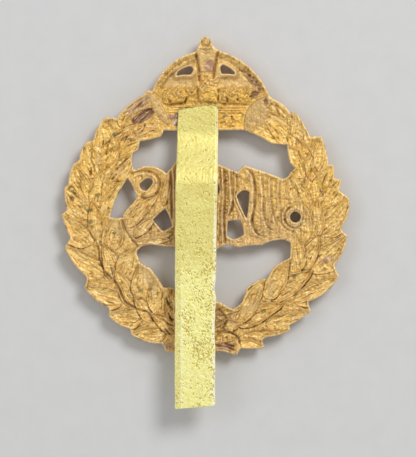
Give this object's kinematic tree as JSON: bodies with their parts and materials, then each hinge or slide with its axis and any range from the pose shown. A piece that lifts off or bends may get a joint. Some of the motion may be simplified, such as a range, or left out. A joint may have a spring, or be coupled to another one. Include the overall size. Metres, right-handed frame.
{
  "type": "cap badge",
  "caption": "Pierced metal cap badge, seen from its back: a crown over a laurel wreath with a scroll panel across it, and a flat slider soldered behind the crown.",
  "frame": {"origin": "middle of the footprint, on the surface that the badge lies face down on", "axes": "+Z out of the badge's back, +Y towards the crown, +X to the right when the back is seen with the crown up"},
  "size_m": [0.038, 0.049, 0.0054],
  "materials": {
    "gilding_metal": "struck, toned and unpolished",
    "slider_brass": "rolled, matte and pitted",
    "solder": "dull grey"
  },
  "bodies": {
    "root": {"crown": "gilding_metal", "left_branch": "gilding_metal", "right_branch": "gilding_metal", "branch_tie": "gilding_metal", "scroll_panel": "gilding_metal", "slider": "slider_brass", "solder_joint": "solder"}
  },
  "joints": []
}
